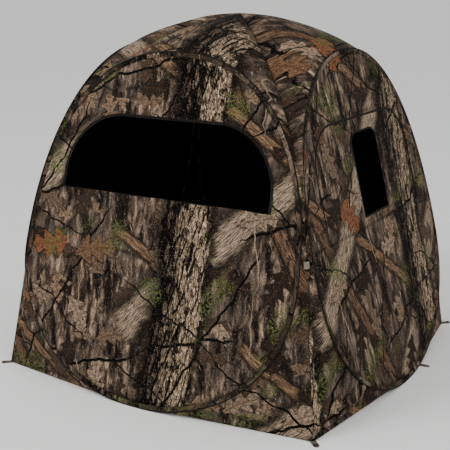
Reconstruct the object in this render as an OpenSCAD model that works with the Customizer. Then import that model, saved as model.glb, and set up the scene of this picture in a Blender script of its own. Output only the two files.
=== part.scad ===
// Pop up ground blind: four leaning spring steel hoops, one in each wall,
// joined at the corners, with a domed roof, corner gussets, windows and a door.
// Millimetres, +Z up, front wall faces -Y, the ground is Z = 0.

/* [Size] */
// Height of the roof centre above the ground
overall_height = 1676; // [1400:1:2000]
// Distance from the centre line to a wall, at the hoop's widest level
wall_half_span = 776; // [600:1:900]
// Level where a hoop is widest
widest_level = 600; // [450:1:800]
// Lean of each wall, as run over rise
wall_lean = 0.25; // [0.1:0.01:0.35]
// Distance from the centre line to a ground corner, along X and along Y
ground_corner = 820; // [650:1:900]

/* [Hoops] */
// Half the width of a hoop, to the middle of its steel band
hoop_half_width = 700; // [550:1:780]
// Rise of a hoop above its widest level, along the wall
hoop_rise = 945; // [800:1:1050]
// Roundness of the upper half, 1 is an ellipse
upper_round = 0.889; // [0.7:0.01:1.1]
// Roundness of the lower half, 1 is an ellipse
lower_round = 0.961; // [0.7:0.01:1.1]
// Width of the steel band, across the wall
band_width = 5; // [4:0.5:5.5]
// Thickness of the steel band
band_thickness = 1.5; // [1:0.1:2]
// Half the width of the fabric sleeve around a band
sleeve_half_width = 11; // [8:0.5:16]
// Half the thickness of the sleeve
sleeve_half_thickness = 4; // [3.8:0.1:6]
// Length of the crimped ferrule that closes a band
ferrule_length = 60; // [30:1:90]

/* [Fabric] */
// Thickness of one layer of shell fabric
fabric = 1.4; // [0.8:0.1:3]
// Gap between a panel and the edge of its opening
panel_gap = 2.5; // [1:0.1:6]
// Width of a zipper tape
tape_width = 16; // [10:1:25]

/* [Front window] */
// Half the width of the front window
front_window_half_width = 535; // [300:1:580]
// Bottom of the front window, along the wall from the widest level
front_window_bottom = 308; // [100:1:400]
// Top of the front window
front_window_top = 655; // [450:1:720]
// Corner radius of the front window
front_window_corner = 285; // [100:1:350]

/* [Side windows] */
// Half the width of a side window
side_window_half_width = 530; // [300:1:580]
// Bottom of a side window
side_window_bottom = 150; // [50:1:300]
// Top of a side window
side_window_top = 645; // [450:1:700]
// Corner radius of a side window
side_window_corner = 220; // [100:1:300]
// Left edge of the shooting slit
slit_left = -122; // [-300:1:0]
// Right edge of the shooting slit
slit_right = 158; // [60:1:300]
// Bottom of the shooting slit
slit_bottom = 195; // [160:1:300]
// Top of the shooting slit
slit_top = 575; // [400:1:620]
// Corner radius at the top of the slit
slit_corner = 55; // [10:1:100]

/* [Door] */
// Half the width of the door
door_half_width = 320; // [200:1:380]
// Bottom of the door
door_bottom = -480; // [-520:1:-200]
// Top of the door
door_top = 560; // [300:1:640]
// Corner radius at the top of the door
door_corner = 200; // [50:1:300]

/* [Stake tabs] */
// Width of a webbing tab
tab_width = 26; // [20:1:40]
// Bore radius of a tab's eyelet, for a ground stake
eyelet_bore = 6; // [4:0.5:8]

/* [Hidden] */
lam = atan(wall_lean);
H = overall_height;
a = wall_half_span;
zc = widest_level;
sw = sleeve_half_width;
sn = sleeve_half_thickness;
hoop_drop = (zc - sn * sin(lam)) / cos(lam) - sw;
ring_n = 144;
hang = 180 - lam;
th = fabric;
join_angle = 9;
$fa = 4;
$fs = 1;

olive = [0.42, 0.38, 0.31];
black = [0.05, 0.05, 0.05];
steel = [0.45, 0.46, 0.48];

// ---- shared shapes -------------------------------------------------------

// Point on a hoop's outline, grown by e, at angle t
function on_ring(t, e) = let (c = cos(t), s = sin(t), p = s > 0 ? upper_round : lower_round)
    [(hoop_half_width + e) * sign(c) * pow(abs(c), p),
     (s > 0 ? hoop_rise + e : -(hoop_drop + e)) * pow(abs(s), p)];
function ring(e) = [for (i = [0:ring_n - 1]) on_ring(360 * i / ring_n, e)];

// A point u along a wall, v up it and n out of it, in the front wall's place
function placed(u, v, n) = [u, -a + v * sin(lam) - n * cos(lam), zc + v * cos(lam) + n * sin(lam)];

// Puts a front wall's drawing on wall k: 0 front, 1 right, 2 back, 3 left
module on_wall(k) {
    rotate([0, 0, 90 * k]) translate([0, -a, zc]) rotate([-lam, 0, 0]) children();
}
// A flat outline from n0 to n1 out of the wall
module sheet(n0, n1) {
    rotate([90, 0, 0]) translate([0, 0, n0]) linear_extrude(n1 - n0) children();
}
// A band that follows the hoop
module ring_band(e0, e1, n0, n1) {
    sheet(n0, n1) difference() { polygon(ring(e1)); polygon(ring(e0)); }
}
// An opening with two round top corners, shrunk by g
module arch(w, b, t, r, g = 0) {
    rr = r - g;
    ww = w - g;
    intersection() {
        union() {
            translate([-ww, b + g]) square([2 * ww, t - r - b - g]);
            translate([-(w - r), b + g]) square([2 * (w - r), t - b - 2 * g]);
            for (s = [-1, 1]) translate([s * (w - r), t - r]) circle(rr);
        }
        translate([-ww, b + g]) square([2 * ww, t - b - 2 * g]);
    }
}
module front_arch(g = 0) {
    arch(front_window_half_width, front_window_bottom, front_window_top, front_window_corner, g);
}
module side_arch(g = 0) {
    arch(side_window_half_width, side_window_bottom, side_window_top, side_window_corner, g);
}
module door_arch(g = 0) { arch(door_half_width, door_bottom, door_top, door_corner, g); }
module slit_shape(g = 0) {
    translate([(slit_left + slit_right) / 2, 0])
        arch((slit_right - slit_left) / 2, slit_bottom, slit_top, slit_corner, g);
}

// ---- parts that every wall has -------------------------------------------

module hoop(k) {
    color(steel) on_wall(k)
        ring_band(-band_thickness / 2, band_thickness / 2, -band_width / 2, band_width / 2);
}
module sleeve(k) {
    color(black) on_wall(k) difference() {
        ring_band(-sw, sw, -sn, sn);
        ring_band(-2.4, 2.4, -3.2, 3.2);
    }
}
module ferrule(k) {
    color(steel) on_wall(k) intersection() {
        difference() {
            ring_band(-2.4, 2.4, -3.2, 3.2);
            ring_band(-band_thickness / 2, band_thickness / 2, -band_width / 2, band_width / 2);
        }
        translate([-ferrule_length / 2, -10, -hoop_drop - 20]) cube([ferrule_length, 20, 40]);
    }
}
module wall_blank() { polygon(ring(-sw)); }

// A thin shell between two grids of points
module skin(outer, inner) {
    n = len(outer) - 1;
    m = len(outer[0]) - 1;
    w = m + 1;
    q = (n + 1) * w;
    pts = concat([for (c = outer) for (p = c) p], [for (c = inner) for (p = c) p]);
    faces = concat(
        [for (i = [0:n - 1]) for (j = [0:m - 1]) each
            [[i * w + j, i * w + j + 1, (i + 1) * w + j + 1],
             [i * w + j, (i + 1) * w + j + 1, (i + 1) * w + j]]],
        [for (i = [0:n - 1]) for (j = [0:m - 1]) each
            [[q + i * w + j, q + (i + 1) * w + j + 1, q + i * w + j + 1],
             [q + i * w + j, q + (i + 1) * w + j, q + (i + 1) * w + j + 1]]],
        [for (j = [0:m - 1]) each
            [[j, q + j + 1, j + 1], [j, q + j, q + j + 1],
             [n * w + j, n * w + j + 1, q + n * w + j + 1], [n * w + j, q + n * w + j + 1, q + n * w + j]]],
        [for (i = [0:n - 1]) each
            [[i * w, (i + 1) * w, q + (i + 1) * w], [i * w, q + (i + 1) * w, q + i * w],
             [i * w + m, q + (i + 1) * w + m, (i + 1) * w + m],
             [i * w + m, q + i * w + m, q + (i + 1) * w + m]]]);
    polyhedron(pts, faces);
}

// Where two walls' fabric meets, just below and above a hoop's widest level
join_point = let (p = placed(on_ring(join_angle, sw)[0], on_ring(join_angle, sw)[1], -sn))
    [(p[0] - p[1]) / 2 - 0.8, -(p[0] - p[1]) / 2, p[2]];
function mix3(p, q, f) = p + (q - p) * f;
function bend3(p, c, q, f) = p * (1 - f) * (1 - f) + c * (2 * f * (1 - f)) + q * f * f;

// Roof gore: from a hoop's top arc to the two seams that climb to the roof centre
gore_n = 36;
gore_m = 7;
seam_knee = [join_point[0] * 0.92, join_point[1] * 0.92, 1330 * H / 1676];
function seam(g) = bend3(join_point, seam_knee, [5, -5.8, H], g);
function gore_t(i) = join_angle + (180 - 2 * join_angle) * i / gore_n;
function gore_g(t) = 1.25 * (min(t, 180 - t) - join_angle) / (90 - join_angle);
function gore_start(i, e) = let (r = on_ring(gore_t(i), e)) placed(r[0], r[1], -sn);
function gore_end(i) = let (t = gore_t(i), g = gore_g(t), q = seam(g))
    g < 1 ? [q[0] * sign(90 - t), q[1], q[2]]
          : [5 * cos(t) / cos(join_angle + 0.8 * (90 - join_angle)), -5.8, H];
function gore_pt(i, j, e) = let (p = gore_start(i, e), q = gore_end(i), d = p - q, w = norm([d[0], d[1]]))
    bend3(p, (p + q) / 2 + [d[0], d[1], 0] * 0.112 + [0, 0, 0.127 * w], q, j / gore_m);
function gore_out(i) = let (t = gore_t(i), d = [0.62 * cos(t), -0.55, 0.35 + 0.5 * sin(t)]) d / norm(d);
module roof_gore(k) {
    outer = [for (i = [0:gore_n]) [for (j = [0:gore_m]) gore_pt(i, j, sw)]];
    inner = [for (i = [0:gore_n]) [for (j = [0:gore_m])
        j == 0 ? gore_pt(i, 0, sw - 2) : gore_pt(i, j, sw) - gore_out(i) * th * 1.4]];
    color(olive) rotate([0, 0, 90 * k]) skin(inner, outer);
}

// Gusset half: from a hoop's lower arc to the ground corner on its right
gus_n = 22;
gus_m = 6;
corner_point = [ground_corner - 0.8, -ground_corner, 1.2];
function gus_start(i, e) =
    i == 0 ? join_point - [0, 0, 1] + [0, 0, (e - sw)] :
    let (t = join_angle - 0.8 - (88 + join_angle - 0.8) * (i - 1) / (gus_n - 1), r = on_ring(t, e))
        placed(r[0], r[1], -sn - 0.3) + [0, 0, 0.6 * (i - 1) / (gus_n - 1)];
function gus_pt(i, j, e) = let (p = gus_start(i, e), f = j / gus_m * 0.985)
    mix3(p, corner_point, f) + [0, 0, 0] + sin(180 * f) * 14 * [-0.5, 1, 0] * sin(180 * i / gus_n);
function inward_flat(p) = let (d = [p[0], p[1], 0]) p - d / norm(d) * th;
module gusset(k, side) {
    outer = [for (i = [0:gus_n]) [for (j = [0:gus_m]) gus_pt(i, j, sw)]];
    inner = [for (i = [0:gus_n]) [for (j = [0:gus_m])
        j == 0 ? gus_pt(i, 0, sw - 2) : inward_flat(gus_pt(i, j, sw))]];
    color(olive) rotate([0, 0, 90 * k])
        if (side > 0) skin([for (i = [gus_n:-1:0]) outer[i]], [for (i = [gus_n:-1:0]) inner[i]]);
        else mirror([1, 0, 0]) skin([for (i = [gus_n:-1:0]) outer[i]], [for (i = [gus_n:-1:0]) inner[i]]);
}

// Stake tabs and eyelets on one wall's two ground corners
tab_at = ground_corner * sqrt(2);
module at_corners(k) {
    for (s = [-45, -135]) rotate([0, 0, 90 * k + s]) translate([tab_at, 0, 0]) children();
}
module corner_tabs(k) {
    color(black) at_corners(k) difference() {
        union() {
            translate([4, -tab_width / 2, 1.2]) cube([30, tab_width, 3]);
            translate([34, 0, 1.2]) cylinder(r = tab_width / 2, h = 3);
        }
        translate([34, 0, 0]) cylinder(r = eyelet_bore + 2, h = 10);
    }
}
module eyelets(k) {
    color([0.3, 0.3, 0.3]) at_corners(k) translate([34, 0, 0]) rotate_extrude() {
        translate([eyelet_bore, 0]) square([2, 5.4]);
        translate([eyelet_bore, 0]) square([5, 1.2]);
        translate([eyelet_bore, 4.2]) square([5, 1.2]);
    }
}
// A webbing loop for a stake, in the middle of a side wall's bottom edge
module stake_loop(k) {
    color(black) rotate([0, 0, 90 * k])
        translate([190, placed(0, -hoop_drop - sw, sn)[1] - 1, 0]) difference() {
        union() {
            translate([-tab_width / 2, -22, 0]) cube([tab_width, 22, 3]);
            translate([0, -22, 0]) cylinder(r = tab_width / 2, h = 3);
        }
        translate([0, -22, -1]) cylinder(r = eyelet_bore, h = 10);
    }
}

// ---- walls, windows and door ---------------------------------------------

module window_wall(k) {
    color(olive) on_wall(k) sheet(-th / 2, th / 2) difference() { wall_blank(); side_arch(); }
}
module arch_tape(k, kind) {
    color(black) on_wall(k) sheet(th / 2, th / 2 + 1) difference() {
        if (kind == 0) front_arch(-tape_width);
        if (kind == 1) side_arch(-tape_width);
        if (kind == 2) door_arch(-tape_width);
        if (kind == 0) { front_arch(-1); translate([-600, 0]) square([1200, front_window_bottom]); }
        if (kind == 1) { side_arch(-1); translate([-600, 0]) square([1200, side_window_bottom]); }
        if (kind == 2) {
            door_arch(-1);
            translate([-600, -600]) square([600 - door_half_width + 1, 1200 - 60]);
        }
    }
}
// A window panel with its shooting slit, in its closed place
module window_panel(k) {
    color(olive) on_wall(k) sheet(-th / 2, th / 2) difference() { side_arch(panel_gap); slit_shape(); }
}
// Cover of the slit: folded open inside the right panel, closed on the left one
slit_cover_pin = slit_left - 12;
slit_cover_n = -th / 2 - 2.6;
module slit_cover(k) {
    w = slit_right - slit_left + 24;
    color(black) on_wall(k) sheet(slit_cover_n - th / 2, slit_cover_n + th / 2)
        translate([k == 1 ? slit_cover_pin - w : slit_cover_pin, slit_bottom - 14])
            square([w, slit_top - slit_bottom + 28]);
}
// Zipper slider with its pull, lying on the tape
module slider() {
    translate([-5, -6, 0]) cube([10, 12, 4]);
    difference() {
        translate([-3, -34, 1]) cube([6, 30, 2]);
        translate([0, -29, 0]) cylinder(r = 1.6, h = 6);
    }
}
module slider_on(k, u, v) {
    color(steel) on_wall(k) rotate([90, 0, 0]) translate([u, v, th / 2 + 1.4]) slider();
}

module front_wall() {
    color(olive) on_wall(0) sheet(-th / 2, th / 2) difference() { wall_blank(); front_arch(); }
}
module back_wall() {
    color(olive) on_wall(2) sheet(-th / 2, th / 2) difference() { wall_blank(); door_arch(); }
}
module back_door() { color(olive) on_wall(2) sheet(-th / 2, th / 2) door_arch(panel_gap); }

// Front window cover, hanging open inside the wall
cover_pin_v = front_window_bottom - 14;
cover_pin_n = -th / 2 - 4;
module front_window_cover() {
    color(black) on_wall(0) translate([0, -cover_pin_n, cover_pin_v]) rotate([-hang, 0, 0])
        sheet(1, 1 + th) translate([0, -cover_pin_v])
            arch(front_window_half_width + 10, cover_pin_v + 3, front_window_top + 10,
                front_window_corner + 10);
}

// ---- nodes ---------------------------------------------------------------

module front_hoop() { hoop(0); }
module front_sleeve() { sleeve(0); }
module front_ferrule() { ferrule(0); }
module front_roof_gore() { roof_gore(0); }
module front_gusset_left() { gusset(0, -1); }
module front_gusset_right() { gusset(0, 1); }
module front_corner_tabs() { corner_tabs(0); }
module front_eyelets() { eyelets(0); }
module front_window_tape() { arch_tape(0, 0); }
module front_window_slider() {
    slider_on(0, front_window_half_width + 9, front_window_top - front_window_corner);
}
module right_wall() { window_wall(1); }
module right_hoop() { hoop(1); }
module right_sleeve() { sleeve(1); }
module right_ferrule() { ferrule(1); }
module right_roof_gore() { roof_gore(1); }
module right_gusset_left() { gusset(1, -1); }
module right_gusset_right() { gusset(1, 1); }
module right_window_tape() { arch_tape(1, 1); }
module right_window_panel() { window_panel(1); }
module right_slit_cover() { slit_cover(1); }
module right_window_slider() { slider_on(1, -side_window_half_width - 9, side_window_bottom + 40); }
module right_stake_loop() { stake_loop(1); }
module back_hoop() { hoop(2); }
module back_sleeve() { sleeve(2); }
module back_ferrule() { ferrule(2); }
module back_roof_gore() { roof_gore(2); }
module back_gusset_left() { gusset(2, -1); }
module back_gusset_right() { gusset(2, 1); }
module back_corner_tabs() { corner_tabs(2); }
module back_eyelets() { eyelets(2); }
module back_door_tape() { arch_tape(2, 2); }
module back_door_slider() { slider_on(2, door_half_width + 9, door_bottom + 40); }
module left_wall() { window_wall(3); }
module left_hoop() { hoop(3); }
module left_sleeve() { sleeve(3); }
module left_ferrule() { ferrule(3); }
module left_roof_gore() { roof_gore(3); }
module left_gusset_left() { gusset(3, -1); }
module left_gusset_right() { gusset(3, 1); }
module left_window_tape() { arch_tape(3, 1); }
module left_window_panel() { window_panel(3); }
module left_slit_cover() { slit_cover(3); }
module left_window_slider() { slider_on(3, -side_window_half_width - 9, side_window_bottom + 40); }
module left_stake_loop() { mirror([0, 1, 0]) stake_loop(3); }

front_wall();
front_hoop();
front_sleeve();
front_ferrule();
front_roof_gore();
front_gusset_left();
front_gusset_right();
front_corner_tabs();
front_eyelets();
front_window_tape();
front_window_cover();
front_window_slider();
right_wall();
right_hoop();
right_sleeve();
right_ferrule();
right_roof_gore();
right_gusset_left();
right_gusset_right();
right_window_tape();
right_window_panel();
right_slit_cover();
right_window_slider();
right_stake_loop();
back_wall();
back_hoop();
back_sleeve();
back_ferrule();
back_roof_gore();
back_gusset_left();
back_gusset_right();
back_corner_tabs();
back_eyelets();
back_door_tape();
back_door();
back_door_slider();
left_wall();
left_hoop();
left_sleeve();
left_ferrule();
left_roof_gore();
left_gusset_left();
left_gusset_right();
left_window_tape();
left_window_panel();
left_slit_cover();
left_window_slider();
left_stake_loop();
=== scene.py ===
"""Pop up ground blind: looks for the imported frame. Metres, +Z up, front -Y."""
from math import sin, cos, atan, pi, radians, sqrt, hypot, atan2
import bpy
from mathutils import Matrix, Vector, noise


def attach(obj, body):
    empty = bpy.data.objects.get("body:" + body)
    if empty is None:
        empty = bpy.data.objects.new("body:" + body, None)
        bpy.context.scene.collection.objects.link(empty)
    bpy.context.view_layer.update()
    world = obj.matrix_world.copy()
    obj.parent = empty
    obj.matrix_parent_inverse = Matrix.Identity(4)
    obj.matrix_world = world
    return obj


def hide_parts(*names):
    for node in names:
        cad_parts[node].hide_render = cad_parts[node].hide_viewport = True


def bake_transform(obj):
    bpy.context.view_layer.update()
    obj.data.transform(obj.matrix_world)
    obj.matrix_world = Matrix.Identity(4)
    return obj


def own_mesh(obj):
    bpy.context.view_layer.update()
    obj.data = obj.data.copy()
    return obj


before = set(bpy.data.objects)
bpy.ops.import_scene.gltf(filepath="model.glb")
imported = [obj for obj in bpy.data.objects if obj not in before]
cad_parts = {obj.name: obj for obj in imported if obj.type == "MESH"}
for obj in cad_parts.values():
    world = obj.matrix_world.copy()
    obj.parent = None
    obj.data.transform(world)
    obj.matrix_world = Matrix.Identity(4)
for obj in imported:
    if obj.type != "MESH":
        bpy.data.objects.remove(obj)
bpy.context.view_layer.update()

# ---- the blind's layout, as in the CAD source ----------------------------
# A wall's own places are u (right, seen from outside), v (up along the wall) and n (outwards).
# Wall k is the front wall turned k quarter turns: front, right, back, left.
WALLS = ("front", "right", "back", "left")
WALL_OUT, MID_Z, HEIGHT = 0.776, 0.600, 1.676  # the walls' middles from the centre and the ground; the roof
LEAN = atan(0.25)
HOOP_HALF, HOOP_RISE = 0.700, 0.945
SLEEVE_U, SLEEVE_N = 0.011, 0.004  # half of a sleeve's width and thickness
HOOP_DROP = (MID_Z - SLEEVE_N * sin(LEAN)) / cos(LEAN) - SLEEVE_U
UPPER_ROUND, LOWER_ROUND = 0.889, 0.961  # exponents of the hoop's outline
FABRIC = 0.0014
# openings: half width, bottom, top, corner radius
FRONT_WIN = (0.535, 0.308, 0.655, 0.285)
SIDE_WIN = (0.530, 0.150, 0.645, 0.220)
DOOR = (0.320, -0.480, 0.560, 0.200)
SLIT = (-0.122, 0.158, 0.195, 0.575, 0.055)  # left, right, bottom, top, corner radius
STEP_U, STEP_V = 1.03, 0.31  # how far the print moves on from one wall to the next

# ---- camera and stage -----------------------------------------------------
AZIMUTH, DISTANCE, EYE_HEIGHT = radians(29.435), 4.765, 1.856
PITCH, YAW = radians(13.846), radians(1.856)
SENSOR, LENS = 36, 77.864  # mm
cam_data = bpy.data.cameras.new("camera")
cam = bpy.data.objects.new("camera", cam_data)
bpy.context.scene.collection.objects.link(cam)
cam.location = (sin(AZIMUTH) * DISTANCE, -cos(AZIMUTH) * DISTANCE, EYE_HEIGHT)
heading = AZIMUTH + YAW
look = Vector((-sin(heading) * cos(PITCH), cos(heading) * cos(PITCH), -sin(PITCH)))
cam.rotation_euler = look.to_track_quat("-Z", "Y").to_euler()
cam_data.sensor_width = SENSOR
cam_data.lens = LENS
cam_data.shift_x, cam_data.shift_y = 0.037333, -0.024
cam_data.clip_end = 100
bpy.context.scene.camera = cam


# ---- node helpers ---------------------------------------------------------
class Net:
    """Short names for building one material's nodes."""

    def __init__(self, name):
        self.mat = bpy.data.materials.new(name)
        self.mat.use_nodes = True
        self.t = self.mat.node_tree
        self.shader = self.t.nodes["Principled BSDF"]

    def new(self, kind, **props):
        n = self.t.nodes.new(kind)
        for k, v in props.items():
            setattr(n, k, v)
        return n

    def put(self, socket, value):
        if value is None:
            return
        if hasattr(value, "is_output"):
            self.t.links.new(value, socket)
        elif isinstance(value, (tuple, list)) and len(value) == 3 and socket.type == "RGBA":
            socket.default_value = (*value, 1)
        else:
            socket.default_value = value

    def m(self, op, a, b=None):
        n = self.new("ShaderNodeMath", operation=op)
        for s, v in zip(n.inputs, (a, b)):
            self.put(s, v)
        return n.outputs[0]

    def add(self, a, b):
        return self.m("ADD", a, b)

    def sub(self, a, b):
        return self.m("SUBTRACT", a, b)

    def mul(self, a, b):
        return self.m("MULTIPLY", a, b)

    def div(self, a, b):
        return self.m("DIVIDE", a, b)

    def v(self, op, a, b=None, scale=None):
        n = self.new("ShaderNodeVectorMath", operation=op)
        self.put(n.inputs[0], a)
        self.put(n.inputs[1], b)
        if scale is not None:
            self.put(n.inputs["Scale"], scale)
        return n.outputs["Value"] if op in ("DOT_PRODUCT", "LENGTH") else n.outputs[0]

    def xyz(self, x=0.0, y=0.0, z=0.0):
        n = self.new("ShaderNodeCombineXYZ")
        for s, q in zip(n.inputs, (x, y, z)):
            self.put(s, q)
        return n.outputs[0]

    def split(self, p):
        n = self.new("ShaderNodeSeparateXYZ")
        self.put(n.inputs[0], p)
        return n.outputs

    def noise(self, p, scale, detail=3.0, rough=0.5, warp=0.0):
        n = self.new("ShaderNodeTexNoise")
        self.put(n.inputs["Vector"], p)
        for k, q in (("Scale", scale), ("Detail", detail), ("Roughness", rough), ("Distortion", warp)):
            self.put(n.inputs[k], q)
        return n.outputs["Fac"]

    def cells(self, p, scale, feature="F1", rand=1.0):
        n = self.new("ShaderNodeTexVoronoi", feature=feature)
        self.put(n.inputs["Vector"], p)
        self.put(n.inputs["Scale"], scale)
        self.put(n.inputs["Randomness"], rand)
        return n.outputs

    def span(self, x, lo, hi, a=0.0, b=1.0):
        """x from lo..hi to a..b, smooth and clamped."""
        n = self.new("ShaderNodeMapRange", interpolation_type="SMOOTHSTEP")
        for s, q in zip(n.inputs[:5], (x, lo, hi, a, b)):
            self.put(s, q)
        return n.outputs[0]

    def mix(self, f, a, b, kind="MIX"):
        n = self.new("ShaderNodeMix", data_type="RGBA", blend_type=kind)
        self.put(n.inputs[0], f)
        self.put(n.inputs[6], a)
        self.put(n.inputs[7], b)
        return n.outputs[2]

    def ramp(self, f, *stops):
        n = self.new("ShaderNodeValToRGB")
        self.put(n.inputs[0], f)
        e = n.color_ramp.elements
        while len(e) < len(stops):
            e.new(0.5)
        for k, (at, col) in zip(e, stops):
            k.position, k.color = at, (*col, 1)
        return n.outputs[0]

    def bump(self, height, strength, distance, normal=None):
        n = self.new("ShaderNodeBump")
        self.put(n.inputs["Height"], height)
        n.inputs["Strength"].default_value = strength
        n.inputs["Distance"].default_value = distance
        if normal is not None:
            self.put(n.inputs["Normal"], normal)
        return n.outputs[0]

    def done(self, color=None, rough=0.8, normal=None, metal=0.0, spec=0.3):
        s = self.shader
        self.put(s.inputs["Base Color"], color)
        self.put(s.inputs["Roughness"], rough)
        s.inputs["Metallic"].default_value = metal
        s.inputs["Specular IOR Level"].default_value = spec
        if normal is not None:
            self.put(s.inputs["Normal"], normal)
        return self.mat


def srgb(r, g, b):
    f = lambda c: c / 255 / 12.92 if c <= 10 else ((c / 255 + 0.055) / 1.055) ** 2.4
    return f(r), f(g), f(b)


def times(f, color):
    return tuple(f * c for c in color)


def limb(g, col, p, angle, period, shift, width, light, dark, along, keep):
    """A family of slanted limbs: fibrous bark, shaded round, dark at the edges."""
    c, s = cos(radians(angle)), sin(radians(angle))
    across = g.v("DOT_PRODUCT", p, (-s, c, 0))
    length = g.v("DOT_PRODUCT", p, (c, s, 0))
    bend = g.noise(g.xyz(g.mul(length, 1.6), shift, 0), 1.0, 1.0)
    q = g.add(g.add(across, g.mul(bend, 0.10)), shift)
    row = g.m("FLOOR", g.div(q, period))
    d = g.sub(g.m("FLOORED_MODULO", q, period), period / 2)
    ragged = g.noise(g.xyz(g.mul(length, 9), row, 0), 1.0, 3.0)
    w = g.mul(g.add(ragged, 0.5), width)
    e = g.div(g.m("ABSOLUTE", d), w)
    part = g.noise(g.xyz(g.mul(length, along), g.mul(row, 3.7), shift), 1.0, 0.0)
    mask = g.mul(g.span(e, 1.0, 0.92), g.span(part, keep, keep + 0.02))
    fiber = g.noise(g.xyz(g.mul(d, 230), g.mul(length, 19), row), 1.0, 6.0, 0.72, 0.3)
    body = g.ramp(fiber, (0.38, dark), (0.47, times(0.5, light)), (0.56, light), (0.68, times(1.2, light)))
    body = g.mix(g.span(e, 0.45, 1.0, 0.0, 0.85), body, dark)
    halo = g.mul(g.span(e, 1.5, 1.0, 0.0, 0.6), g.span(part, keep, keep + 0.02))
    col = g.mix(halo, col, srgb(40, 34, 28))
    return g.mix(mask, col, body)


def trunk(g, col, p, period, shift, width, keep):
    """Upright trunks of long bark plates, lit from one side, with near black cracks."""
    x, y, _ = g.split(p)
    lean = g.noise(g.xyz(g.mul(y, 1.1), shift, 0), 1.0, 1.0)
    q = g.add(g.add(x, g.mul(lean, 0.10)), shift)
    row = g.m("FLOOR", g.div(q, period))
    d = g.sub(g.m("FLOORED_MODULO", q, period), period / 2)
    ragged = g.noise(g.xyz(g.mul(y, 15), row, shift), 1.0, 5.0, 0.65)
    w = g.mul(g.add(ragged, 0.5), width)
    across = g.div(d, w)
    e = g.m("ABSOLUTE", across)
    part = g.noise(g.xyz(g.mul(y, 0.9), g.mul(row, 5.3), shift), 1.0, 0.0)
    mask = g.mul(g.span(e, 1.0, 0.95), g.span(part, keep, keep + 0.02))
    wob = g.noise(g.xyz(g.mul(x, 30), g.mul(y, 11), 2), 1.0, 5.0, 0.7)
    bark = g.xyz(g.add(g.mul(x, 42), g.mul(wob, 3.4)), g.add(g.mul(y, 8.5), g.mul(wob, 2.4)), row)
    edge = g.cells(bark, 1.0, "DISTANCE_TO_EDGE")[0]
    fine = g.noise(g.xyz(g.mul(x, 210), g.mul(y, 42), 0), 1.0, 6.0, 0.75)
    plate = g.ramp(fine, (0.34, srgb(32, 28, 22)), (0.48, srgb(78, 69, 56)),
                   (0.58, srgb(112, 102, 85)), (0.70, srgb(166, 157, 137)))
    lit = g.span(g.add(across, g.mul(g.sub(wob, 0.5), 1.8)), -1.0, 0.5, 0.35, 1.35)
    plate = g.mix(1.0, plate, g.xyz(lit, lit, lit), "MULTIPLY")
    crack = g.sub(edge, g.mul(g.span(across, 0.3, -1.0), 0.10))
    body = g.mix(g.span(crack, 0.13, 0.02), plate, srgb(8, 7, 6))
    body = g.mix(g.span(e, 0.80, 1.0, 0.0, 0.8), body, srgb(12, 10, 9))
    side = g.mul(g.span(across, -1.7, -1.0, 0.0, 0.75), g.span(part, keep, keep + 0.02))
    col = g.mix(g.mul(side, g.span(across, 1.3, 1.0)), col, srgb(14, 12, 10))
    return g.mix(mask, col, body)


def twig(g, col, p, angle, period, shift, width, tone, keep, along):
    """Thin wandering twigs of even width."""
    c, s = cos(radians(angle)), sin(radians(angle))
    across = g.v("DOT_PRODUCT", p, (-s, c, 0))
    length = g.v("DOT_PRODUCT", p, (c, s, 0))
    bend = g.noise(g.xyz(g.mul(length, 3.4), shift * 9, 0), 1.0, 3.0, 0.55)
    q = g.add(g.add(across, g.mul(bend, 0.20)), shift)
    row = g.m("FLOOR", g.div(q, period))
    d = g.m("ABSOLUTE", g.sub(g.m("FLOORED_MODULO", q, period), period / 2))
    part = g.noise(g.xyz(g.mul(length, along), g.mul(row, 3.7), shift), 1.0, 0.0)
    w = g.mul(g.span(part, keep, keep + 0.10), width)
    return g.mix(g.mul(g.span(g.sub(d, w), 0.0012, 0.0), g.span(part, keep, keep + 0.005)), col, tone)


def leaves(g, col, p, scale, z, size, tones, keep):
    """Scattered lobed leaves, each turned its own way, with a midrib and a shadow."""
    o = g.cells(g.v("ADD", p, (z, z * 0.7, z * 0.31)), scale, "F1", 0.75)
    here = g.v("SUBTRACT", g.v("ADD", p, (z, z * 0.7, z * 0.31)), o["Position"])
    rnd = g.split(o["Color"])
    turn = g.mul(rnd[0], 6.28)
    hx, hy, _ = g.split(here)
    ct, st = g.m("COSINE", turn), g.m("SINE", turn)
    x = g.div(g.add(g.mul(hx, ct), g.mul(hy, st)), size)
    y = g.div(g.sub(g.mul(hy, ct), g.mul(hx, st)), size)
    y = g.add(y, g.mul(g.mul(x, x), 0.12))
    ay = g.m("ABSOLUTE", y)
    round_ = g.m("SQRT", g.m("MAXIMUM", g.sub(1.0, g.mul(x, x)), 0.0))
    slant = g.sub(x, g.mul(ay, 0.55))
    lobe = g.add(g.mul(g.m("COSINE", g.mul(slant, 10.5)), 0.32), 0.68)
    half = g.mul(g.mul(round_, lobe), 0.62)
    gap = g.sub(half, ay)
    on = g.span(rnd[1], keep, keep + 0.01)
    mottled = g.noise(p, 70, 4.0, 0.7)
    tone = g.mix(g.span(rnd[2], 0.25, 0.75), tones[0], tones[1])
    tone = g.mix(g.span(mottled, 0.35, 0.62), g.mix(0.6, tone, srgb(44, 32, 23)), tone)
    vein = g.m("MINIMUM", ay, g.m("ABSOLUTE", g.m("SINE", g.mul(slant, 5.25))))
    tone = g.mix(g.span(vein, 0.045, 0.015, 0.0, 0.55), tone, srgb(70, 48, 32))
    shade = g.mul(g.span(gap, -0.13, 0.0, 0.0, 0.65), on)
    col = g.mix(shade, col, srgb(28, 23, 19))
    return g.mix(g.mul(g.span(gap, 0.0, 0.02), on), col, tone)


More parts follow.
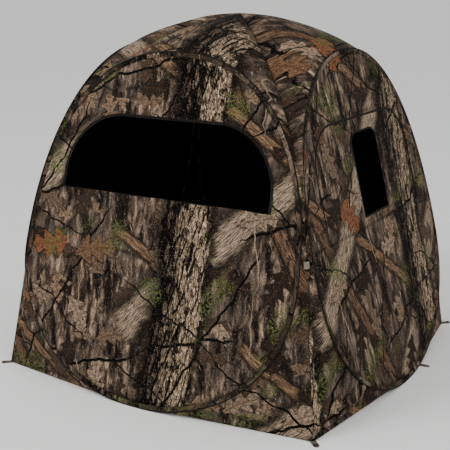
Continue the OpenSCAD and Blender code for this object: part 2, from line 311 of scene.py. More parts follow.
# leaves: how many to a metre, shift, size, two tones, share left out
SMALL_LEAVES = (5.6, 0.37, 0.075, (srgb(104, 90, 73), srgb(66, 56, 47)), 0.36)
GREY_LEAVES = (3.9, 3.1, 0.09, (srgb(42, 35, 30), srgb(112, 101, 86)), 0.42)
RUSTY_LEAVES = (2.5, 1.93, 0.115, (srgb(106, 70, 46), srgb(92, 74, 55)), 0.56)
# limbs: angle, spacing, shift, width, light and dark tone, how often they break, share left out
LIMBS = (
    (118, 0.78, 0.21, 0.040, srgb(92, 74, 58), srgb(16, 12, 10), 1.1, 0.46),
    (-31, 0.74, 0.30, 0.030, srgb(104, 86, 66), srgb(16, 12, 10), 1.3, 0.40),
    (43, 0.80, 0.47, 0.085, srgb(116, 106, 90), srgb(18, 15, 12), 1.0, 0.44),
)
TRUNKS = (1.25, 0.425, 0.122, 0.24)  # spacing, shift, width, share left out
# twigs: angle, spacing, shift, width, tone, share left out, how often they break
TWIGS = (
    (62, 0.37, 0.11, 0.0050, srgb(13, 11, 9), 0.46, 2.2),
    (152, 0.33, 0.27, 0.0034, srgb(16, 13, 11), 0.44, 2.2),
    (17, 0.41, 0.05, 0.0058, srgb(14, 12, 10), 0.48, 2.2),
    (96, 0.45, 0.19, 0.0022, srgb(104, 94, 80), 0.56, 3.1),
)


def camo(name, dim=1.0):
    """The woodland print on coated cloth, in metres along each wall; dim darkens it."""
    g = Net(name)
    uv = g.new("ShaderNodeUVMap")
    uv.uv_map = "Flat"
    p = uv.outputs[0]
    px, py, _ = g.split(p)
    # ground of soft upright bark tones, with grey patches, dark slashes and pale stalks
    soft = g.noise(g.xyz(g.mul(px, 34), g.mul(py, 9), 0), 1.0, 6.0, 0.68, 0.4)
    col = g.ramp(soft, (0.34, srgb(24, 20, 17)), (0.45, srgb(58, 50, 43)),
                 (0.55, srgb(92, 81, 69)), (0.68, srgb(134, 120, 102)))
    patch = g.noise(p, 3.4, 2.0, 0.5)
    col = g.mix(g.span(patch, 0.42, 0.60, 0.0, 0.75), col, g.mix(soft, srgb(24, 21, 19), srgb(92, 84, 75)))
    slash = g.noise(g.xyz(g.add(g.mul(px, 4), g.mul(py, 5)), g.mul(px, 17), 3), 1.0, 4.0, 0.6, 0.3)
    col = g.mix(g.span(slash, 0.48, 0.62, 0.0, 0.85), col, srgb(17, 14, 12))
    stalks = g.xyz(g.add(g.mul(px, 120), g.mul(py, 60)), g.sub(g.mul(py, 14), g.mul(px, 7)), 9)
    straw = g.noise(stalks, 1.0, 3.0, 0.5)
    col = g.mix(g.span(straw, 0.62, 0.72, 0.0, 0.5), col, srgb(150, 136, 116))
    # things in front of it, from the farthest to the nearest
    col = leaves(g, col, p, *SMALL_LEAVES)
    for row in LIMBS:
        col = limb(g, col, p, *row)
    col = leaves(g, col, p, *GREY_LEAVES)
    col = trunk(g, col, p, *TRUNKS)
    for row in TWIGS:
        col = twig(g, col, p, *row)
    col = leaves(g, col, p, *RUSTY_LEAVES)
    # moss, and the grain of the whole print
    sprig = g.mul(g.span(g.noise(p, 4.3, 1.0), 0.60, 0.66), g.span(g.noise(p, 84, 3.0, 0.7), 0.50, 0.56))
    col = g.mix(sprig, col, srgb(66, 80, 40))
    speck = g.noise(p, 210, 4.0, 0.75)
    col = g.mix(g.span(speck, 0.36, 0.60, 0.55, 0.0), col, srgb(10, 8, 7))
    glint = g.noise(p, 150, 3.0, 0.7)
    col = g.mix(g.span(glint, 0.60, 0.72, 0.0, 0.30), col, srgb(186, 174, 156))
    # more contrast, then the print's warmth
    lum = g.v("DOT_PRODUCT", col, (0.3, 0.5, 0.2))
    col = g.v("SCALE", col, scale=g.m("MINIMUM", g.m("POWER", g.div(lum, 0.047), 0.52), 2.8))
    col = g.v("MULTIPLY", col, (1.40, 1.25, 1.20))
    if dim < 1:
        col = g.mix(1 - dim, col, (0.004, 0.004, 0.004))
    weave = g.mul(g.m("SINE", g.mul(px, 3140)), g.m("SINE", g.mul(py, 3140)))
    pucker = g.noise(p, 26, 4.0, 0.6)
    nrm = g.bump(weave, 0.12, 0.0004, g.bump(pucker, 0.35, 0.004))
    return g.done(col, g.span(speck, 0.3, 0.7, 0.80, 0.95), nrm, spec=0.06)


def cloth(name, base, rib=2200.0, rough=0.85):
    """Plain woven cloth or webbing, faded and flecked; rib is the weave's frequency."""
    g = Net(name)
    uv = g.new("ShaderNodeUVMap")
    uv.uv_map = "Flat"
    px, py, _ = g.split(uv.outputs[0])
    fleck = g.noise(uv.outputs[0], 90, 4.0, 0.7)
    wear = g.noise(uv.outputs[0], 7, 3.0, 0.6)
    col = g.mix(g.span(fleck, 0.3, 0.7), times(0.7, base), times(1.3, base))
    col = g.mix(g.span(wear, 0.55, 0.8, 0.0, 0.35), col, tuple(2.2 * c + 0.004 for c in base))
    weave = g.add(g.m("SINE", g.mul(px, rib)), g.m("SINE", g.mul(py, rib)))
    return g.done(col, rough, g.bump(weave, 0.3, 0.0005, g.bump(fleck, 0.2, 0.001)), spec=0.08)


def metal(name, base, rough):
    """Brushed metal with grime."""
    g = Net(name)
    p = g.new("ShaderNodeTexCoord").outputs["Object"]
    fine = g.noise(g.v("MULTIPLY", p, (60, 60, 900)), 1.0, 4.0, 0.6)
    grime = g.noise(p, 35, 4.0, 0.6)
    col = g.mix(g.span(grime, 0.45, 0.75, 0.0, 0.6), base, times(0.45, base))
    dull = g.span(fine, 0.3, 0.7, rough * 0.8, rough * 1.3)
    return g.done(col, dull, g.bump(fine, 0.3, 0.0002), metal=1.0, spec=0.5)


def teeth(name):
    """A zipper's coil, one tooth every 3 mm."""
    g = Net(name)
    uv = g.new("ShaderNodeUVMap")
    uv.uv_map = "Flat"
    px, py, _ = g.split(uv.outputs[0])
    tooth = g.m("SINE", g.mul(px, 2 * pi / 0.003))
    col = g.mix(g.span(tooth, -0.3, 0.5), srgb(8, 7, 7), srgb(34, 30, 26))
    return g.done(col, 0.8, g.bump(tooth, 0.8, 0.0012), spec=0.12)


CAMO = camo("camo_fabric")
CAMO_DARK = camo("camo_sleeve", 0.62)
BLACK = cloth("black_coating", srgb(9, 9, 9), 1500, 0.85)
WEB = cloth("black_webbing", srgb(21, 20, 18), 1900)
WEB_DRAB = cloth("drab_webbing", srgb(92, 84, 73), 1900)
WEB_TAN = cloth("tan_webbing", srgb(120, 110, 96), 1900)
TEETH = teeth("zipper_teeth")
STEEL = metal("blued_spring_steel", srgb(92, 96, 104), 0.32)
EYELET = metal("dark_eyelet", srgb(70, 68, 66), 0.38)
PULL = metal("black_pull", srgb(44, 43, 42), 0.42)


# ---- mesh helpers ---------------------------------------------------------
def signed_power(x, power):
    return (1 if x > 0 else -1) * abs(x) ** power


def on_ring(t, e):
    """Place on a hoop's outline, grown by e, at angle t."""
    c, s = cos(t), sin(t)
    power = UPPER_ROUND if s > 0 else LOWER_ROUND
    tall = HOOP_RISE + e if s > 0 else -(HOOP_DROP + e)
    return (HOOP_HALF + e) * signed_power(c, power), tall * abs(s) ** power


def placed(u, v, n, k=0):
    """Place in the frame of a place on wall k."""
    x, y, z = u, -WALL_OUT + v * sin(LEAN) - n * cos(LEAN), MID_Z + v * cos(LEAN) + n * sin(LEAN)
    for _ in range(k):
        x, y = -y, x
    return Vector((x, y, z))


def turned(p, k):
    """A place of the front wall carried to wall k."""
    x, y, z = p
    for _ in range(k):
        x, y = -y, x
    return Vector((x, y, z))


def grid_mesh(name, pts, uvs, mats, closed=False, thick=0.0, flip=False):
    """A sheet from rows of points; the first material outside, the second inside."""
    rows, cols = len(pts), len(pts[0])
    verts = [p for row in pts for p in row]
    faces, fuv = [], []
    for i in range(rows if closed else rows - 1):
        for j in range(cols - 1):
            i2 = (i + 1) % rows
            f = [(i, j), (i2, j), (i2, j + 1), (i, j + 1)]
            uf = [uvs[i][j], uvs[i2][j], uvs[i2][j + 1], uvs[i][j + 1]]
            if flip:
                f.reverse(), uf.reverse()
            faces.append([a * cols + b for a, b in f])
            fuv.append(uf)
    me = bpy.data.meshes.new(name)
    me.from_pydata(verts, [], faces)
    lay = me.uv_layers.new(name="Flat")
    flat = [c for uf in fuv for q in uf for c in q]
    lay.data.foreach_set("uv", flat)
    me.polygons.foreach_set("use_smooth", [True] * len(faces))
    for m in mats:
        me.materials.append(m)
    me.update()
    o = bpy.data.objects.new(name, me)
    bpy.context.scene.collection.objects.link(o)
    if thick:
        s = o.modifiers.new("layers", "SOLIDIFY")
        s.thickness, s.offset = thick, -1
        if len(mats) > 1:
            s.material_offset, s.material_offset_rim = 1, 1
    return o


def bake(o):
    """Applies the modifiers into the object's own mesh."""
    dg = bpy.context.evaluated_depsgraph_get()
    me = bpy.data.meshes.new_from_object(o.evaluated_get(dg))
    o.modifiers.clear()
    o.data = me
    return o


def arch_path(w, b, t, r, n=10, grow=0.0):
    """Closed outline of an opening with two round top corners, from its bottom left, anticlockwise."""
    w, b, t, r = w + grow, b - grow, t + grow, r + grow
    low = max(b, t - r)
    a0 = 0.0 if t - r >= b else atan2(b - (t - r), 1e-9 + sqrt(max(r * r - (b - t + r) ** 2, 0)))
    pts = []
    m = max(3, int(2 * w / 0.03))
    pts += [(-w + 2 * w * i / m, b) for i in range(m)]
    m = max(2, int((low - b) / 0.03) + 1)
    pts += [(w, b + (low - b) * i / m) for i in range(m)] if low > b + 1e-6 else []
    turns = [(pi / 2 - a0) * i / n for i in range(n)]
    pts += [(w - r + r * cos(a0 + a), t - r + r * sin(a0 + a)) for a in turns]
    m = max(3, int(2 * (w - r) / 0.03))
    pts += [(w - r - 2 * (w - r) * i / m, t) for i in range(m)]
    pts += [(-(w - r) - r * sin(a), t - r + r * cos(a)) for a in turns]
    m = max(2, int((low - b) / 0.03) + 1)
    pts += [(-w, low - (low - b) * i / m) for i in range(m)] if low > b + 1e-6 else [(-w, low)]
    return pts


def slit_path(grow=0.0):
    """Closed outline of the shooting slit."""
    c = (SLIT[0] + SLIT[1]) / 2
    return [(x + c, y) for x, y in arch_path((SLIT[1] - SLIT[0]) / 2, SLIT[2], SLIT[3], SLIT[4], 8, grow)]


def ray_hit(path, c, ang):
    """Distance from c to a closed path along an angle."""
    dx, dy = cos(ang), sin(ang)
    best = None
    for (x0, y0), (x1, y1) in zip(path, path[1:] + path[:1]):
        ex, ey = x1 - x0, y1 - y0
        den = dx * ey - dy * ex
        if abs(den) < 1e-12:
            continue
        fx, fy = x0 - c[0], y0 - c[1]
        s = (fx * ey - fy * ex) / den
        q = (fx * dy - fy * dx) / den
        if s > 0 and -1e-9 <= q <= 1 + 1e-9 and (best is None or s > best):
            best = s
    return best


def angles_for(path, c, extra=64):
    """Angles from c to each point of a path, with some between, so corners stay sharp."""
    a = sorted({round(atan2(y - c[1], x - c[0]) % (2 * pi), 5) for x, y in path})
    out = []
    for p, q in zip(a, a[1:] + [a[0] + 2 * pi]):
        m = max(1, int((q - p) / (2 * pi / extra / 2.2)))
        out += [p + (q - p) * i / m for i in range(m)]
    return out


def ripple(u, v, k, size=0.004):
    """Gentle unevenness of fabric under tension."""
    a = noise.noise(Vector((u * 3.1 + 7 * k, v * 2.3, 0.3)))
    b = noise.noise(Vector((u * 8.7 + 3 * k, v * 5.1, 4.3)))
    return size * (a + 0.35 * b)


RING = [on_ring(2 * pi * i / 288, -SLEEVE_U) for i in range(288)]


def annulus(name, k, outer, inner, mats, n_at, rows=26, thick=FABRIC, amp=0.004, edge_wave=0.0):
    """Fabric between two closed outlines on wall k, with UVs in metres on the wall."""
    heights = [p[1] for p in inner]
    c = (sum(p[0] for p in inner) / len(inner), (max(heights) + min(heights)) / 2)
    pts, uvs = [], []
    corners = inner if outer is RING else inner + outer
    for ang in angles_for(corners, c, 200):
        r0, r1 = ray_hit(inner, c, ang), ray_hit(outer, c, ang)
        row, ur = [], []
        for j in range(rows + 1):
            f = j / rows
            r = r0 + (r1 - r0) * f
            u, v = c[0] + r * cos(ang), c[1] + r * sin(ang)
            hold = min(1.0, f * 5 + 0.15) * min(1.0, (1 - f) * 6)
            lift = ripple(u, v, k, amp) * hold
            lift *= 1.0 if lift > 0 else 0.25  # mostly outwards, clear of what hangs inside
            if edge_wave and f < 0.3 and sin(ang) < -0.3:
                lift += edge_wave * (1 + sin(u * 19 + 1)) * (1 - f / 0.3)
            row.append(placed(u, v, n_at + lift, k))
            ur.append((u + STEP_U * k, v + STEP_V * k))
        pts.append(row), uvs.append(ur)
    return grid_mesh(name, pts, uvs, mats, closed=True, thick=thick, flip=True)


def strip(name, k, path, width, n_at, mats, closed=True, thick=0.001, side=0.5, bulge=0.0, cols=3):
    """A flat tape that follows a path on wall k."""
    m = len(path)
    on_print = mats[0] in (CAMO, CAMO_DARK)
    pts, uvs, run = [], [], 0.0
    for i, (u, v) in enumerate(path):
        a = path[(i - 1) % m] if closed or i else path[i]
        b = path[(i + 1) % m] if closed or i < m - 1 else path[i]
        tx, ty = b[0] - a[0], b[1] - a[1]
        length = hypot(tx, ty) or 1
        nx, ny = ty / length, -tx / length
        if i:
            run += hypot(u - path[i - 1][0], v - path[i - 1][1])
        row, ur = [], []
        for j in range(cols):
            f = j / (cols - 1)
            w = width * (f - 1 + side)
            row.append(placed(u + nx * w, v + ny * w, n_at + bulge * sin(pi * f), k))
            ur.append((u + nx * w + STEP_U * k, v + ny * w + STEP_V * k) if on_print else (run, width * f))
        pts.append(row), uvs.append(ur)
    return grid_mesh(name, pts, uvs, mats, closed=closed, thick=thick, flip=True)


# ---- fabric that every wall has -------------------------------------------
JOIN = radians(9)  # where two hoops meet, from a hoop's own middle
meet = placed(*on_ring(JOIN, SLEEVE_U), -SLEEVE_N)
JOINT_PT = Vector(((meet.x - meet.y) / 2 + 0.0004, -(meet.x - meet.y) / 2, meet.z))
CORNER = Vector((0.8204, -0.820, 0.0016))  # a ground corner's fabric, front right
EMBED_U, EMBED_N = 0.004, 0.0012  # how far gores and gussets are set into the sleeves


def side_of(w):
    """The body of a wall."""
    return w + "_side"


def make_sleeve(w, k):
    """The padded fabric sleeve round a hoop, with its seam ridge."""
    pts, uvs, run, last = [], [], 0.0, None
    steps, sides, padding = 320, 14, 0.0012
    around = [2 * pi * q / sides for q in range(sides + 1)]
    section = [(SLEEVE_U * signed_power(cos(a), 0.8), (SLEEVE_N + padding) * signed_power(sin(a), 0.75))
               for a in around]
    for i in range(steps):
        t = 2 * pi * i / steps
        mid = on_ring(t, 0)
        if last:
            run += hypot(mid[0] - last[0], mid[1] - last[1])
        last = mid
        wob = 0.0007 * noise.noise(Vector((run * 14, k, 0)))
        row, ur = [], []
        for e, n in section:
            u, v = on_ring(t, e)
            row.append(placed(u, v, n + wob, k))
            ur.append((u + STEP_U * k + 0.3, v + n))
        pts.append(row), uvs.append(ur)
    o = grid_mesh(w + "_sleeve_cloth", pts, uvs, [CAMO_DARK], closed=True)
    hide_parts(w + "_sleeve")
    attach(o, side_of(w))
    # bound edge: a dark tape and its stitching on the outer rim
    rim = [on_ring(2 * pi * i / steps, SLEEVE_U - 0.001) for i in range(steps)]
    b = strip(w + "_hoop_binding", k, rim, 0.007, SLEEVE_N - 0.0005, [WEB], thick=0.0012, bulge=0.0012)
    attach(b, side_of(w))


TOP = Vector((0.0006, -0.0005, HEIGHT))  # where the four roof seams meet


def seam(g):
    """The seam from a corner's join to the roof centre, in the front wall's right corner."""
    knee = Vector((JOINT_PT.x * 0.92, JOINT_PT.y * 0.92, 1.330))
    return JOINT_PT * (1 - g) ** 2 + knee * (2 * g * (1 - g)) + TOP * g * g


def make_gore(w, k):
    """Roof fabric from one hoop's top arc to the seams at its sides, with drawn wrinkles."""
    n, m = 112, 26
    pts, uvs = [], []
    for i in range(n + 1):
        t = JOIN + (pi - 2 * JOIN) * i / n
        share = 1.25 * (min(t, pi - t) - JOIN) / (pi / 2 - JOIN)
        p = placed(*on_ring(t, SLEEVE_U - EMBED_U), -SLEEVE_N + EMBED_N)
        if share < 1:
            e = seam(share)
            e = e if t < pi / 2 else Vector((-e.x, e.y, e.z))
        else:
            e = Vector((TOP.x * cos(t) / cos(JOIN + 0.8 * (pi / 2 - JOIN)), TOP.y, TOP.z))
        d = p - e
        reach = hypot(d.x, d.y)
        knee = (p + e) / 2 + Vector((d.x, d.y, 0)) * 0.112 + Vector((0, 0, 0.127 * reach))
        out = Vector((0.62 * cos(t), -0.55, 0.35 + 0.5 * sin(t))).normalized()
        row, ur = [], []
        for j in range(m + 1):
            f = j / m
            q = p * (1 - f) ** 2 + knee * (2 * f * (1 - f)) + e * f * f
            hold = sin(pi * f) * min(1.0, reach / 0.16, 8 * min(i, n - i) / n)
            near = max(0.0, 1 - share)
            uneven = 0.7 + 0.8 * noise.noise(Vector((i * 0.09, k, 2)))
            drawn = 0.010 * sin(i * 0.60 + 1.2 * k + 2.5 * f) * (0.25 + near) * uneven
            lift = hold * (drawn + 0.008 * noise.noise(Vector((q.x * 4 + k, q.y * 4, q.z * 3))))
            row.append(turned(q + out * (lift - 0.003 * hold), k))
            ur.append((q.x + STEP_U * k, STEP_V * k + 0.75 * ((q.z - MID_Z) / cos(LEAN) + 0.78 + q.y)))
        pts.append(row), uvs.append(ur)
    o = grid_mesh(w + "_roof_cloth", pts, uvs, [CAMO, BLACK], thick=FABRIC, flip=True)
    bake(o)
    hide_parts(w + "_roof_gore")
    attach(o, side_of(w))
    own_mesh(o)
    return o


# the two bodies at corner k, between walls k and k + 1; the back left corner is open
CORNER_BODIES = (("front_side", "right_side"), ("right_side", "back_side"), None, ("front_side", "left_side"))


def round_corner(o):
    """Bakes a corner's fabric into its mesh where it stands, attached to neither wall."""
    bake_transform(o)


def make_gusset(w, k, side):
    """Corner gusset half, drawn into wrinkles towards the ground corner and the join."""
    n, m = 60, 26
    pts, uvs = [], []
    for i in range(n + 1):
        if i == 0:
            p = JOINT_PT + Vector((0, 0, 0.0008))
        else:
            t = JOIN + radians(0.3) - (radians(88.3) + JOIN) * (i - 1) / (n - 1)
            p = placed(*on_ring(t, SLEEVE_U - EMBED_U), -SLEEVE_N + EMBED_N) + Vector((0, 0, 0.0012))
        row, ur = [], []
        for j in range(m + 1):
            f = j / m * 0.992
            q = p + (CORNER - p) * f
            sag = sin(pi * f) * 0.014 * sin(pi * i / n)
            fold = sin(pi * min(1, f * 1.15)) * min(1.0, 5 * min(i, n - i) / n)
            crease = 0.009 * sin(i * 0.62 + 2 * k + side) * (0.4 + 0.6 * f)
            crease += 0.005 * noise.noise(Vector((q.x * 9, q.z * 9, k + side)))
            q = q + Vector((-0.5, 1, 0)) * sag + Vector((0.3, -1, 0)) * crease * fold
            x = q.x * side
            row.append(turned((x, q.y, max(q.z, 0.0014)), k))
            ur.append((x + STEP_U * k, (q.z - MID_Z) / cos(LEAN) + STEP_V * k))
        pts.append(row), uvs.append(ur)
    name = w + "_gusset_" + ("right" if side > 0 else "left")
    o = grid_mesh(name + "_cloth", pts, uvs, [CAMO, BLACK], thick=FABRIC, flip=side < 0)
    bake(o)
    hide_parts(name)
    bodies = CORNER_BODIES[k if side > 0 else k - 1]
    if bodies:
        round_corner(o)
    else:
        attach(o, side_of(w))
        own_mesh(o)


def make_patch(k, bodies):
    """Small webbing tie sewn on a corner seam, just below where the hoops meet."""
    pts, uvs = [], []
    for i in range(7):
        z = 0.700 + 0.030 * i / 6
        c = JOINT_PT.x + (JOINT_PT.z - z) / JOINT_PT.z * (CORNER.x - JOINT_PT.x)
        row, ur = [], []
        for j in range(9):
            f = j / 4 - 1
            q = Vector((c, -c, z)) + Vector((1, 1, 0)) * 0.009 * f
            q += Vector((1, -1, 0)) * (0.0026 - 0.0016 * abs(f) ** 2)
            row.append(turned(q, k))
            ur.append((0.013 * f, z))
        pts.append(row), uvs.append(ur)
    o = grid_mesh("corner_tie_%d" % k, pts, uvs, [WEB_TAN], thick=0.0010, flip=True)
    bake(o)
    if bodies:
        round_corner(o)
    else:
        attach(o, "back_side")


def stand_for(node):
    """Hides a CAD node, so the piece built for it shows in its place."""
    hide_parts(node)


# walls with their openings
for k, w in enumerate(WALLS):
    hole = {0: arch_path(*FRONT_WIN, n=18), 2: arch_path(*DOOR, n=12)}.get(k, arch_path(*SIDE_WIN, n=14))
    o = annulus(w + "_wall_cloth", k, RING, hole, [CAMO, BLACK], FABRIC / 2, rows=34, amp=0.006,
                edge_wave=0.0012 if w == "front" else 0.0)
    bake(o)
    stand_for(w + "_wall")
    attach(o, side_of(w))
    make_sleeve(w, k)
    make_gore(w, k)
    make_gusset(w, k, 1)
    make_gusset(w, k, -1)
    for part in ("_hoop", "_ferrule"):
        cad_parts[w + part].data.materials.clear()
        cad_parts[w + part].data.materials.append(STEEL)


def open_top(shape, n, grow):
    """The part of an opening's outline above its bottom edge, left to right over the top."""
    low = shape[1] + 0.002
    pts = [p for p in arch_path(*shape, n=n, grow=grow) if p[1] > low]
    return [(shape[0] + grow, low - 0.004)] + pts + [(-shape[0] - grow, low - 0.004)]


def zipper(w, k, shape, n=16, cover=True):
    """Coil, fold and seam of the zipper round an opening; the front one stands open."""
    path = open_top(shape, n, -0.001 if cover else 0.007)
    coil = strip(w + "_zipper_coil", k, path, 0.009, FABRIC / 2 + 0.0012, [TEETH],
                 closed=False, thick=0.0012, bulge=0.0024, cols=7)
    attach(coil, side_of(w))
    for q, grow in enumerate((0.0160, 0.0210)):
        stitch = strip(w + "_zipper_seam%d" % q, k, open_top(shape, n, grow), 0.0024, FABRIC / 2 + 0.0004,
                       [CAMO_DARK], closed=False, thick=0.0012, bulge=0.0008)
        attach(stitch, side_of(w))
    if cover:
        half, low = shape[0], shape[1] + 0.001
        hem = strip(w + "_hinge_hem", k, [(-half + 2 * half * i / 40, low) for i in range(41)], 0.014,
                    FABRIC / 2 + 0.0003, [CAMO_DARK], closed=False, thick=0.001, bulge=0.0012)
        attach(hem, side_of(w))


zipper("front", 0, FRONT_WIN, 18, cover=False)
zipper("right", 1, SIDE_WIN)
zipper("left", 3, SIDE_WIN)
zipper("back", 2, DOOR)

PANEL_GAP = 0.0025  # between a zipped panel and its opening

# side window panels and slit binding
for w, k in (("right", 1), ("left", 3)):
    outer = arch_path(*SIDE_WIN, n=14, grow=-PANEL_GAP)
    o = annulus(w + "_window_cloth", k, outer, slit_path(), [CAMO, BLACK], FABRIC / 2, rows=22, amp=0.0015)
    bake(o)
    stand_for(w + "_window_panel")
    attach(o, w + "_window")
    b = strip(w + "_slit_binding", k, slit_path(0.002), 0.010, FABRIC / 2 + 0.0003, [WEB],
              thick=0.001, bulge=0.0012)
    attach(b, w + "_window")

# front window binding
b = strip("front_window_binding", 0, arch_path(*FRONT_WIN, n=18, grow=0.001), 0.005, FABRIC / 2 + 0.0003,
          [WEB], thick=0.001, bulge=0.001)
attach(b, "front_side")


def panel(name, shape, place, mats, uv0=(0.0, 0.0), lift=None, thick=FABRIC, flip=False, step=0.02):
    """A closed cloth panel with an arched or square top, on any plane."""
    w, b, t, r = shape
    n, m = max(8, int(2 * w / step)), max(8, int((t - b) / step))
    pts, uvs = [], []
    for i in range(n + 1):
        u = -w + 2 * w * (0.5 - 0.5 * cos(pi * i / n))
        over = max(0.0, abs(u) - (w - r))
        top = t - r + sqrt(max(r * r - over * over, 0.0)) if r else t
        row, ur = [], []
        for j in range(m + 1):
            v = b + (top - b) * j / m
            hold = min(1.0, 5 * min(i, n - i) / n, 5 * min(j, m - j) / m)
            row.append(place(u, v, (lift(u, v) if lift else 0.0) * hold))
            ur.append((u + uv0[0], v + uv0[1]))
        pts.append(row), uvs.append(ur)
    o = grid_mesh(name, pts, uvs, mats, thick=thick, flip=flip)
    bake(o)
    return o


# back door
half, low, top, corner = DOOR
o = panel("back_door_cloth", (half - PANEL_GAP, low + PANEL_GAP, top - PANEL_GAP, corner - PANEL_GAP),
          lambda u, v, d: placed(u, v, FABRIC / 2 + d, 2), [CAMO, BLACK], (STEP_U * 2, STEP_V * 2),
          lambda u, v: ripple(u, v, 2, 0.006))
stand_for("back_door")
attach(o, "door")

# front window cover, hanging inside from below the window
PIN_V, PIN_N = FRONT_WIN[1] - 0.014, -FABRIC / 2 - 0.004  # its hinge line
COVER_LAP, COVER_FACE = 0.010, 0.0024  # past the window's edge; from the hinge line to the face
hang_c, hang_s = cos(pi - LEAN), sin(pi - LEAN)


def hanging(u, v, d):
    """A place on the cover, v down from the hinge line and d off its face."""
    d += COVER_FACE
    return placed(u, PIN_V + hang_s * d + hang_c * v, PIN_N + hang_c * d - hang_s * v, 0)


half, low, top, corner = FRONT_WIN
o = panel("front_cover_cloth", (half + COVER_LAP, 0.003, top + COVER_LAP - PIN_V, corner + COVER_LAP),
          hanging, [BLACK], (0, 0),
          lambda u, v: -0.009 * (0.5 + 0.5 * sin(u * 21 + 2 * sin(v * 5))) * min(1, v * 5))
stand_for("front_window_cover")
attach(o, "front_cover")

# slit covers: open on the right, closed on the left
half, lap = 0.152, 0.014
for w, k, side in (("right", 1, -1), ("left", 3, 1)):
    u0 = SLIT[0] - 0.012 + side * half
    o = panel(w + "_cover_cloth", (half, SLIT[2] - lap, SLIT[3] + lap, 0),
              lambda u, v, d: placed(u + u0, v, -0.0026 + d, k), [BLACK], (u0, 0),
              lambda u, v: -0.0022 * (0.5 + 0.5 * sin(v * 24 + u * 9)))
    stand_for(w + "_slit_cover")
    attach(o, w + "_cover")


def tape(node, k, path, body):
    """The zipper's tape along one side of a path on wall k."""
    o = strip(node + "_cloth", k, path, 0.0145, FABRIC / 2 + 0.001, [CAMO_DARK],
              closed=False, thick=0.001, side=1.0, cols=5)
    stand_for(node)
    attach(o, body)


tape("front_window_tape", 0, open_top(FRONT_WIN, 18, 0.0015), "front_side")
tape("right_window_tape", 1, open_top(SIDE_WIN, 14, 0.0015), "right_side")
tape("left_window_tape", 3, open_top(SIDE_WIN, 14, 0.0015), "left_side")
# the door's tape leaves out the hinge side
free = [p for p in arch_path(*DOOR, n=14, grow=0.0015) if p[0] > 0.0005 - DOOR[0]]
tape("back_door_tape", 2, [(0.001 - DOOR[0], DOOR[1] - 0.0015)] + free, "back_side")


def tab(name, bore, length, place, half=0.013, z1=0.0042, thick=0.003):
    """A flat webbing tab with a round end about its eyelet hole."""
    edge = [(-length, -half + 2 * half * i / 6) for i in range(7)][::-1]
    edge += [(-length + length * i / 5, -half) for i in range(1, 5)]
    edge += [(half * sin(a), -half * cos(a)) for a in [pi * i / 16 for i in range(17)]]
    edge += [(-length * i / 5, half) for i in range(1, 5)]
    pts, uvs = [], []
    for a in angles_for(edge, (0, 0), 48):
        r1, row, ur = ray_hit(edge, (0, 0), a), [], []
        for j in range(7):
            r = bore + (r1 - bore) * j / 6
            x, y = r * cos(a), r * sin(a)
            soft = 0.0004 * sin(y * 1400) * (0 < j < 6) - 0.0006 * (j == 6)
            row.append(place(x, y, z1 + soft))
            ur.append((x, y))
        pts.append(row), uvs.append(ur)
    return grid_mesh(name, pts, uvs, [WEB_DRAB], closed=True, thick=thick, flip=True)


def join(name, parts):
    """Several baked meshes as one piece."""
    verts, faces, uv = [], [], []
    for o in parts:
        bake(o)
        at, me = len(verts), o.data
        verts += [v.co.copy() for v in me.vertices]
        for f in me.polygons:
            faces.append([at + i for i in f.vertices])
            uv += [c for li in f.loop_indices for c in me.uv_layers["Flat"].data[li].uv]
        bpy.data.objects.remove(o)
    me = bpy.data.meshes.new(name)
    me.from_pydata(verts, [], faces)
    me.uv_layers.new(name="Flat").data.foreach_set("uv", uv)
    me.materials.append(WEB_DRAB)
    o = bpy.data.objects.new(name, me)
    bpy.context.scene.collection.objects.link(o)
    return o


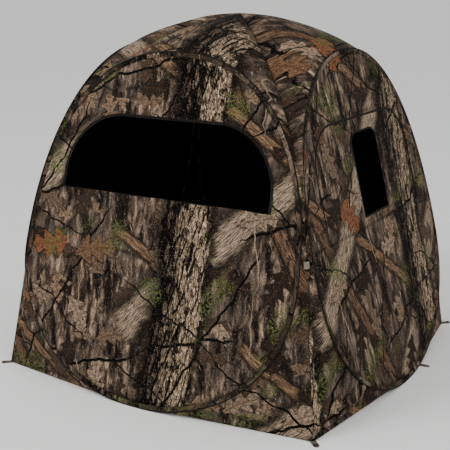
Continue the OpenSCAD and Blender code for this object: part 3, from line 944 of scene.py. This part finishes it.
for w, k in (("front", 0), ("back", 2)):
    two = []
    far = 0.820 * sqrt(2) + 0.034  # from the centre to an eyelet
    for a in (-45, -135):
        c, s = cos(radians(90 * k + a)), sin(radians(90 * k + a))
        two.append(tab("tab_%d" % a, 0.008, 0.044,
                       lambda x, y, z: Vector(((far + x) * c - y * s, (far + x) * s + y * c, z))))
    o = join(w + "_tab_webbing", two)
    stand_for(w + "_corner_tabs")
    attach(o, side_of(w))
low = placed(0, -HOOP_DROP - SLEEVE_U, SLEEVE_N)
for w, k in (("right", 1), ("left", 3)):
    o = tab(w + "_loop_webbing", 0.006, 0.036,
            lambda x, y, z: turned((0.190 + y, low.y - 0.023 - x, z), k), z1=0.003)
    bake(o)
    stand_for(w + "_stake_loop")
    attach(o, side_of(w))

# CAD nodes that stay as they are
LOOK = {"slider": PULL, "eyelets": EYELET}
for name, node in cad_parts.items():
    for key, mat in LOOK.items():
        if key in name:
            node.data.materials.clear()
            node.data.materials.append(mat)

for k, bodies in enumerate(CORNER_BODIES):
    make_patch(k, bodies)

# ---- floor and light ------------------------------------------------------
g = Net("pale_floor")
tc = g.new("ShaderNodeTexCoord").outputs["Object"]
tone = g.mix(g.noise(tc, 1.5, 3.0), (0.80, 0.80, 0.79), (0.84, 0.84, 0.83))
floor_mat = g.done(tone, 0.9, spec=0.1)
me = bpy.data.meshes.new("floor")
FLOOR_HALF = 300
square = [(-1, -1), (1, -1), (1, 1), (-1, 1)]
me.from_pydata([(x * FLOOR_HALF, y * FLOOR_HALF, 0) for x, y in square], [], [(0, 1, 2, 3)])
me.materials.append(floor_mat)
floor_obj = bpy.data.objects.new("floor", me)
bpy.context.scene.collection.objects.link(floor_obj)

world = bpy.data.worlds.new("studio")
bpy.context.scene.world = world
world.use_nodes = True
world.node_tree.nodes["Background"].inputs["Color"].default_value = (1, 1, 1, 1)
world.node_tree.nodes["Background"].inputs["Strength"].default_value = 0.95


def area_light(name, at, to, size, power):
    d = bpy.data.lights.new(name, "AREA")
    d.shape, d.size, d.energy = "DISK", size, power
    o = bpy.data.objects.new(name, d)
    bpy.context.scene.collection.objects.link(o)
    o.location = at
    o.rotation_euler = (Vector(to) - Vector(at)).to_track_quat("-Z", "Y").to_euler()


area_light("key", (-2.5, -5.0, 5.5), (0, 0, 0.7), 3.0, 260)
area_light("fill", (5.0, -3.0, 3.5), (0, 0, 0.8), 4.0, 120)
